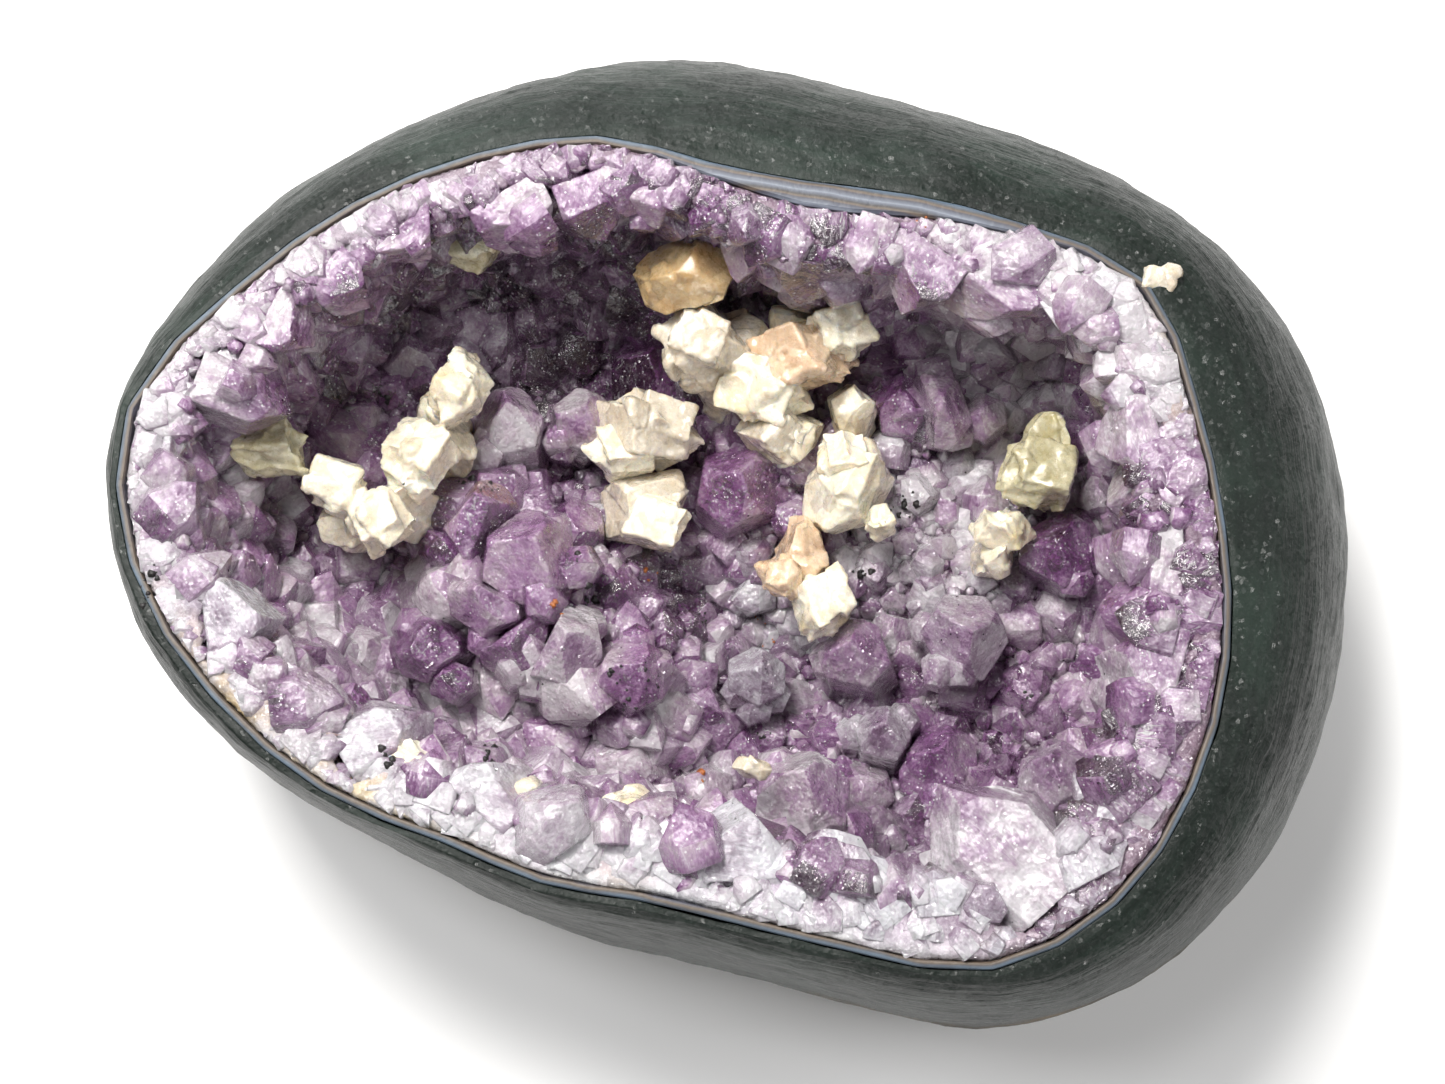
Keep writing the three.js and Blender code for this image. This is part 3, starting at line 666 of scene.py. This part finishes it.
def cavity_spots(spacing, wanted, pick):
    """Places on the bed inside the cavity, at least about one spacing apart, with their normals."""
    mesh = nodes["quartz_bed"].data
    mesh.calc_loop_triangles()
    corners = points_of(mesh)[np.array([t.vertices[:] for t in mesh.loop_triangles])]
    cross = np.cross(corners[:, 1] - corners[:, 0], corners[:, 2] - corners[:, 0])
    area = np.linalg.norm(cross, axis=1) / 2
    middle = corners.mean(1)
    up = cross[:, 2] / (2 * area + 1e-12)
    inside = np.array([lining_tree.find_nearest(Vector(p))[3] for p in middle]) > 7 * MM
    flat_top = middle[:, 2] > CUT_Z - 0.5 * MM
    weights = area * inside * ~flat_top * (up > -0.75)
    chosen, grid = [], {}
    for index in pick.choices(range(len(area)), weights=weights, k=wanted):
        a, b = pick.random(), pick.random()
        if a + b > 1:
            a, b = 1 - a, 1 - b
        p = corners[index]
        spot = Vector(p[0] + a * (p[1] - p[0]) + b * (p[2] - p[0]))
        gap = spacing * druse_at((spot.x - RIM_MIDDLE.x) / MM, (spot.y - RIM_MIDDLE.y) / MM)[0] * MM
        cell = tuple(int(c // (6 * MM)) for c in spot)
        near = (q for i in (-1, 0, 1) for j in (-1, 0, 1) for k in (-1, 0, 1)
                for q in grid.get((cell[0] + i, cell[1] + j, cell[2] + k), ()))
        if any((q - spot).length < gap for q in near):
            continue
        grid.setdefault(cell, []).append(spot)
        chosen.append((spot, Vector(cross[index]).normalized()))
    return chosen


def druse(spacing, wanted, share, shapes, pick, sink, room):
    cluster = Cluster()
    for spot, normal in cavity_spots(spacing, wanted, pick):
        x, y = (spot.x - RIM_MIDDLE.x) / MM, (spot.y - RIM_MIDDLE.y) / MM
        size, tone, hue = druse_at(x, y)
        size *= share * pick.uniform(0.7, 1.35) * MM
        loose = Vector((pick.gauss(0, 1), pick.gauss(0, 1), pick.gauss(0, 1))) * 0.35
        axis = (normal + loose + Vector((0, 0, 0.35))).normalized()
        tip = spot + axis * size * (2.2 - sink)
        if room and not clear_of_big(tip, size * room):
            continue
        shade = tone + pick.uniform(-0.3, 0.3)
        cluster.add(pick.choice(shapes), tip, turn_to(axis, pick.uniform(0, 6.3)), size, shade,
                    min(1, max(0, hue + pick.uniform(-0.2, 0.2))), pick)
    return cluster


coarse = druse(1.15, 9000, 1.15, SHAPES, dice, 0.9, 0.35).make("druse_coarse", AMETHYST)
keep(coarse, "amethyst")
fine = druse(0.55, 22000, 0.42, FINE_SHAPES, dice, 0.9, 0).make("druse_fine", AMETHYST)
keep(fine, "amethyst")


# The large amethysts, each its own crystal, with its edges a little worn, and smaller ones that
# grew beside it in nearly the same direction. Tone runs from 0, pale, to 1, deep; hue from
# 0, mauve, to 1, blue-grey.
TONES = {
    "cavity_amethyst": [
        (0.55, 0.0), (0.75, 0.0), (0.15, 0.05), (0.5, 0.0), (0.62, 0.0), (0.42, 0.0), (0.25, 0.0),
        (0.1, 0.15), (0.25, 0.0), (0.65, 0.1), (0.75, 0.1), (0.05, 0.2), (0.42, 0.0), (0.2, 0.7),
        (0.25, 0.1), (0.2, 0.35), (0.1, 0.5), (0.65, 0.0), (0.4, 0.25), (0.2, 0.1), (0.85, 0.1)],
    "rim_amethyst": [
        (0.0, 0.6), (0.2, 0.15), (0.22, 0.15), (0.28, 0.1), (0.28, 0.1), (0.38, 0.05), (0.42, 0.05),
        (0.4, 0.05), (0.05, 0.3), (0.45, 0.5), (0.2, 0.2), (0.2, 0.15), (0.48, 0.3), (0.18, 0.2),
        (0.2, 0.2), (0.2, 0.2), (0.15, 0.7), (-0.05, 0.3), (-0.1, 0.8), (-0.1, 0.6), (0.12, 0.6),
        (0.0, 0.7)],
}


CRYSTAL_GRAIN = 0.45 * MM
RUSTY_CRYSTAL = "cavity_amethyst_05"  # its far edge is rust-orange


def within_agate(*points):
    """Whether all of the points lie on the cavity's side of the agate."""
    for point in points:
        heading = Vector((point.x - RIM_MIDDLE.x, point.y - RIM_MIDDLE.y, 0))
        agate = outward_hit(lining_tree, heading.normalized(), max(3 * MM, CUT_Z - point.z))
        if agate is None or heading.length > agate - 1.5 * MM:
            return False
    return True


def crystal_axis(mesh):
    """A crystal's axis: the direction that most of its sides run along."""
    tensor = np.zeros((3, 3))
    for face in mesh.polygons:
        n = np.array(face.normal)
        tensor += np.outer(n, n) * face.area
    return Vector(np.linalg.eigh(tensor)[1][:, 0])


def large_crystal(node, tone, hue, pick, beside):
    sides = tree_of(node)
    middle = points_of(nodes[node].data).mean(0)
    axis = crystal_axis(nodes[node].data)
    if axis.dot(Vector(middle) - Vector((RIM_MIDDLE.x, RIM_MIDDLE.y, 2 * CUT_Z))) > 0:
        axis = -axis
    turn = turn_to(axis, 0)
    piece = copy_of_node(node, node + "_crystal")
    voxel_remesh(piece, CRYSTAL_GRAIN)
    where, facing = points_of(piece.data), normals_of(piece.data)
    relief = fractal(where, 5 * MM, 51) * 0.16 + fractal(where, 1.6 * MM, 52) * 0.05
    where = where + facing * (relief * MM)[:, None]
    where[:, 2] = np.minimum(where[:, 2], CUT_Z + 0.4 * MM + relief * 0.3 * MM)
    set_points(piece.data, where)
    smooth_faces(piece.data)
    local = (where - middle) @ np.array(turn)
    low, high = local[:, 2].min(), local[:, 2].max()
    across = np.hypot(local[:, 0], local[:, 1])
    size = np.percentile(across, 92)
    tip = Vector(middle) + axis * high
    # Faces that look the same way share one random painted light tone.
    shades = {}
    side_painted_light = [shades.setdefault(tuple(round(c, 1) for c in face.normal), pick.random())
                  for face in nodes[node].data.polygons]
    nearest = [sides.find_nearest(face.center)[2] for face in piece.data.polygons]
    put(piece.data, "facet_painted_light", [side_painted_light[index] for index in nearest], "FACE")
    along = (local[:, 2] - low) / (high - low)
    put(piece.data, "along", 1.2 - along if node.startswith("rim") else along)
    put(piece.data, "core", np.clip(1 - across / size, 0, 1))
    put(piece.data, "tone", np.full(len(where), tone))
    put(piece.data, "hue", np.full(len(where), hue))
    put(piece.data, "edge", np.zeros(len(where)))
    if node == RUSTY_CRYSTAL:
        put(piece.data, "rust", (where[:, 1] > middle[1] + 0.6 * size) * 0.7)
    offset = np.array([pick.uniform(-500, 500) for _ in range(3)])
    put(piece.data, "grain", local / MM + offset, kind="FLOAT_VECTOR")
    piece.data.materials.append(AMETHYST)
    keep(piece, "amethyst", node)
    for _ in range(3):
        around = pick.uniform(0, 6.3)
        part = size * pick.uniform(0.4, 0.65)
        sideways = turn @ Vector((math.cos(around), math.sin(around), 0))
        shift = sideways * size * pick.uniform(0.7, 0.95)
        loose = Vector((pick.gauss(0, 1), pick.gauss(0, 1), pick.gauss(0, 1))) * 0.14
        new_axis = (axis + loose).normalized()
        new_tip = tip + shift - axis * size * pick.uniform(0.45, 1.2)
        new_root = new_tip - new_axis * part * 2.2
        if new_tip.z > CUT_Z - 1 * MM or not within_agate(new_tip, new_root):
            continue
        beside.add(pick.choice(SHAPES), new_tip, turn_to(new_axis, pick.uniform(0, 6.3)), part,
                   tone + pick.uniform(-0.2, 0.1), hue, pick)


beside_large = Cluster()
for group, tones in TONES.items():
    for number, (tone, hue) in enumerate(tones, 1):
        large_crystal(f"{group}_{number:02d}", tone, hue, dice, beside_large)
keep(beside_large.make("side_crystals", AMETHYST), "amethyst")


# The calcites are blocks of cream to honey calcite that grew last, on top of the amethyst. They
# break along flat planes, and weather to a sugary skin.
def calcite_finish(name, light, dark, spot):
    m = Nodes(name)
    cloud = m.noise(m.place(), 130.0, detail=5.0, roughness=0.6)
    crust = m.noise(m.place(), 650.0, detail=4.0, roughness=0.7)
    colour = m.ramp(cloud, (0.32, dark), (0.62, light))
    colour = m.mix(m.ramp(m.noise(m.place(), 75.0), (0.58, 0.0), (0.7, 0.8)), colour, spot)
    pits = m.ramp(crust, (0.3, 0.4), (0.4, 0.0))
    colour = m.mix(pits, colour, dark)
    rough = m.math("ADD", 0.1, m.math("MULTIPLY", crust, 0.35))
    cleavage = m.voronoi(m.place((1, 1, 0.4)), 260.0, "F1", "Color")
    step = m.add("ShaderNodeSeparateColor", inputs={"Color": cleavage}).outputs[0]
    colour = m.mix(m.math("MULTIPLY", step, 0.35), colour, dark)
    normal = m.facets(m.place((1, 1, 0.5)), 330.0, 0.35, m.bump(crust, 0.0004, 0.7))
    return m.wire(Base_Color=colour, Roughness=rough, Normal=normal, Transmission_Weight=0.12,
                  Subsurface_Weight=1.0, Subsurface_Radius=(0.012, 0.01, 0.007), Coat_Weight=1.0,
                  Coat_Roughness=0.08, Coat_IOR=1.8,
                  Coat_Normal=m.facets(m.place(), 450.0, 0.6, normal))


# Each finish has its light and its dark paint, and that of its spots.
CREAM = calcite_finish("cream_calcite", paint(249, 243, 225), paint(228, 215, 188), paint(242, 226, 172))
HONEY = calcite_finish("honey_calcite", paint(218, 196, 154), paint(188, 152, 102), paint(166, 124, 74))
WHITE = calcite_finish("white_calcite", paint(232, 224, 208), paint(198, 184, 162), paint(222, 206, 176))
PEACH = calcite_finish("peach_calcite", paint(238, 214, 184), paint(212, 180, 148), paint(224, 196, 152))
GREENISH = calcite_finish("greenish_calcite", paint(218, 212, 184), paint(178, 168, 128),
                          paint(192, 180, 128))
FINISHES = {"calcite_01": HONEY, "calcite_02": WHITE, "calcite_04": WHITE, "calcite_06": PEACH,
            "calcite_09": GREENISH}
CALCITE_GRAIN = 0.5 * MM


def broken(points, size, seed):
    """How far each point moves so that a surface breaks into tilted flat faces of that size."""
    shift = Vector((seed * 17.3, seed * 5.1, seed * 9.7))
    moves = []
    for p in points:
        q = Vector(p) / size + shift
        middle = noise.voronoi(q)[1][0]
        lean = noise.cell_vector(middle * 31.7) * 2 - Vector((1, 1, 1))
        moves.append((q - middle).dot(lean))
    return np.array(moves) * size


def flaking(points):
    return broken(points, 8 * MM, 61) * 0.14 + broken(points, 2.6 * MM, 62) * 0.05


def wear(piece, times):
    soft = piece.modifiers.new("wear", "SMOOTH")
    soft.factor, soft.iterations = 0.5, times
    apply_modifiers(piece)


def cleave(piece, pick, cuts):
    """Breaks a rounded lump down to uneven flat faces, as calcite breaks."""
    where, facing = points_of(piece.data), normals_of(piece.data)
    where = where + facing * (fractal(where, 9 * MM, pick.randint(30, 90)) * 1.6 * MM)[:, None]
    middle = where.mean(0)
    for _ in range(cuts):
        normal = Vector((pick.gauss(0, 1), pick.gauss(0, 1), pick.gauss(0, 1)))
        normal = np.array(normal.normalized())
        out = (where - middle) @ normal
        over = np.clip(out - out.max() * pick.uniform(0.66, 0.96), 0, None)
        where = where - over[:, None] * normal
    set_points(piece.data, where + facing * flaking(where)[:, None])
    smooth_faces(piece.data)


for name in sorted(n for n in nodes if n.startswith("calcite")):
    piece = copy_of_node(name, name + "_block")
    voxel_remesh(piece, CALCITE_GRAIN)
    cleave(piece, dice, 24)
    wear(piece, 3)
    piece.data.materials.append(FINISHES.get(name, CREAM))
    keep(piece, "calcite", name)

# Smaller growths that run on from the blocks: place [x, y, z] from the cavity's middle and half
# sizes in mm, and finish. The height is above the floor.
GROWTHS = [
    ((-59, 22, 77), (4, 6, 5), CREAM), ((-64, 8, 74), (5, 6, 5), CREAM),
    ((-70, -6, 73), (5, 5, 5), CREAM), ((-79, -2, 74), (5, 4, 4), CREAM),
    ((-93, 2, 79), (6, 4, 4), GREENISH), ((-63, 50, 83), (5, 3.5, 4), GREENISH),
    ((-21, 27, 62), (7, 5, 7), WHITE), ((5, 47, 70), (7, 5, 7), PEACH),
    ((11, 52, 71), (5, 4, 5), CREAM), ((4, 31, 63), (5, 4, 6), WHITE),
    ((22, -1, 63), (4, 5, 4), CREAM), ((11, 2, 65), (3, 3, 3), PEACH),
    ((15, -39, 83), (2.6, 1.8, 2), WHITE), ((-14, 42, 72), (7, 6, 7), WHITE),
    ((-26, 20, 63), (5, 4, 5), CREAM), ((-15, 8, 62), (5, 4, 5), CREAM),
    ((29, 17, 65), (3, 3, 4), CREAM), ((57, 32, 72), (5, 5, 5), GREENISH),
    ((53, 21, 69), (4, 3, 4), CREAM), ((0, 40, 66), (7, 6, 7), CREAM),
    ((18, 28, 66), (5, 5, 5), CREAM), ((-50, -53, 96), (4, 3, 2.5), CREAM),
    ((-82, -44, 97), (5, 3, 2), CREAM), ((-24, -55, 92), (4, 3, 4), CREAM),
    ((70, 70, 96.5), (3.6, 2.6, 2.6), WHITE),
]


def growth_mass(finish, name):
    form = bmesh.new()
    for place, half, wanted in GROWTHS:
        if wanted is not finish:
            continue
        for _ in range(3):
            lump = bmesh.ops.create_cube(form, size=1.5)["verts"]
            angle = dice.uniform(0, 6.3)
            turn = Matrix.Rotation(angle, 3, (dice.gauss(0, 1), dice.gauss(0, 1), dice.gauss(0, 1)))
            loose = [dice.uniform(-0.35, 0.35) * h for h in half]
            share = dice.uniform(1.0, 1.45)
            for v in lump:
                parts = zip(place, loose, turn @ v.co, half)
                v.co = Vector([(p + q + c * h * share) * MM for p, q, c, h in parts])
                v.co += Vector((RIM_MIDDLE.x, RIM_MIDDLE.y, 0))
    mesh = bpy.data.meshes.new(name)
    form.to_mesh(mesh)
    form.free()
    piece = bpy.data.objects.new(name, mesh)
    bpy.context.scene.collection.objects.link(piece)
    voxel_remesh(piece, CALCITE_GRAIN)
    wear(piece, 6)
    where, facing = points_of(piece.data), normals_of(piece.data)
    lumps = fractal(where, 6.0 * MM, 41) * 0.6 * MM
    set_points(piece.data, where + facing * (lumps + flaking(where))[:, None])
    smooth_faces(piece.data)
    piece.data.materials.append(finish)
    keep(piece, "calcite")


for finish in (CREAM, WHITE, PEACH, GREENISH):
    growth_mass(finish, finish.name + "_growths")


# Specks of black iron ore sit on the crystals in small groups, with a few rust-brown ones.
def speck_finish(name, colour, other):
    m = Nodes(name)
    grain = m.noise(m.place(), 1400.0, detail=3.0)
    shade = m.ramp(grain, (0.4, colour), (0.65, other))
    rough = m.math("ADD", 0.25, m.math("MULTIPLY", grain, 0.4))
    return m.wire(Base_Color=shade, Roughness=rough, Normal=m.bump(grain, 0.0003, 0.8))


# Where the groups are: place [x, y] from the cavity's middle in mm.
SPECK_GROUPS = [(-29, -4), (-15, -26), (-8, -26), (-35, -50), (-55, 7), (34, 24), (16, -29),
                (-50, 5), (-104, -35), (-3, -7), (-85, 18), (-52, -54), (28, 8), (66, -10),
                (-25, -10), (-12, -30), (-36, -47), (30, 22), (-104, -30), (-78, 22)]
RUST_GROUPS = [(10, -4), (5, -40), (-29, -15), (24, 70), (-14, -3), (12, -8)]


def ground_below(x, y):
    """The topmost point of the finished crystals at a place."""
    top = RIM_MIDDLE + Vector((x * MM, y * MM, 30 * MM))
    return bpy.context.scene.ray_cast(bpy.context.evaluated_depsgraph_get(), top, (0, 0, -1))


def specks(groups, each, name, finish):
    pick = random.Random(77)
    cluster = Cluster()
    for x, y in groups:
        for _ in range(each):
            hit, spot, normal, *_ = ground_below(x + pick.gauss(0, 1.0), y + pick.gauss(0, 1.0))
            if hit:
                size = (0.25 + 0.9 * pick.random() ** 2.5) * MM
                shape = pick.choice(FINE_SHAPES)
                turn = turn_to(normal, pick.uniform(0, 6.3))
                cluster.add(shape, spot + normal * size * 0.9, turn, size, 0, 0, pick)
    keep(cluster.make(name, finish), "quartz")


bpy.context.view_layer.update()
specks(SPECK_GROUPS, 6, "black_specks", speck_finish("black_ore", paint(10, 9, 10), paint(34, 28, 28)))
specks(RUST_GROUPS, 3, "rust_specks", speck_finish("rust", paint(120, 62, 28), paint(176, 104, 48)))


# The floor, the lights and the camera.
def pale_floor():
    mesh = bpy.data.meshes.new("floor")
    half = 4.0
    corners = [(-half, -half, 0), (half, -half, 0), (half, half, 0), (-half, half, 0)]
    mesh.from_pydata(corners, [], [(0, 1, 2, 3)])
    floor = bpy.data.objects.new("floor", mesh)
    bpy.context.scene.collection.objects.link(floor)
    m = Nodes("pale_floor")
    mesh.materials.append(m.wire(Base_Color=(0.86, 0.86, 0.86, 1), Roughness=0.7))


def area_light(name, place, aim, size, power, colour):
    data = bpy.data.lights.new(name, "AREA")
    data.size, data.energy, data.color = size, power, colour
    light = bpy.data.objects.new(name, data)
    light.location = place
    light.rotation_euler = (Vector(aim) - Vector(place)).to_track_quat("-Z", "Y").to_euler()
    bpy.context.scene.collection.objects.link(light)


pale_floor()
area_light("key", (-0.42, 0.42, 1.25), (0, 0, 0.06), 0.34, 23, (1.0, 0.98, 0.95))
area_light("overhead", (-0.3, 0.0, 1.15), (0, 0, 0.05), 0.2, 3.0, (1.0, 1.0, 1.0))
PANELS = [(0.9, 0.35, 0.85), (-0.95, 0.1, 0.8), (0.35, -0.95, 0.8), (-0.4, 0.9, 0.5)]
for number, place in enumerate(PANELS):
    area_light(f"panel_{number}", place, (0, 0, 0.06), 0.5, 4.0, (1.0, 1.0, 1.0))
world = bpy.data.worlds.new("studio")
world.use_nodes = True
world.node_tree.nodes["Background"].inputs["Color"].default_value = (1.0, 1.0, 1.0, 1)
world.node_tree.nodes["Background"].inputs["Strength"].default_value = 0.12
bpy.context.scene.world = world

VIEW_TURN, VIEW_RISE = math.radians(13), math.radians(80)
DISTANCE, VIEW_WIDTH = 0.55, 0.2747
towards = Vector((math.sin(VIEW_TURN) * math.cos(VIEW_RISE), -math.cos(VIEW_TURN) * math.cos(VIEW_RISE),
                  math.sin(VIEW_RISE)))
camera = bpy.data.objects.new("camera", bpy.data.cameras.new("camera"))
camera.location = RIM_MIDDLE + towards * DISTANCE
camera.rotation_euler = (-towards).to_track_quat("-Z", "Y").to_euler()
camera.data.lens = camera.data.sensor_width * DISTANCE / VIEW_WIDTH
camera.data.clip_start = 0.01
bpy.context.scene.collection.objects.link(camera)
bpy.context.scene.camera = camera
bpy.context.scene.view_settings.view_transform = "Standard"
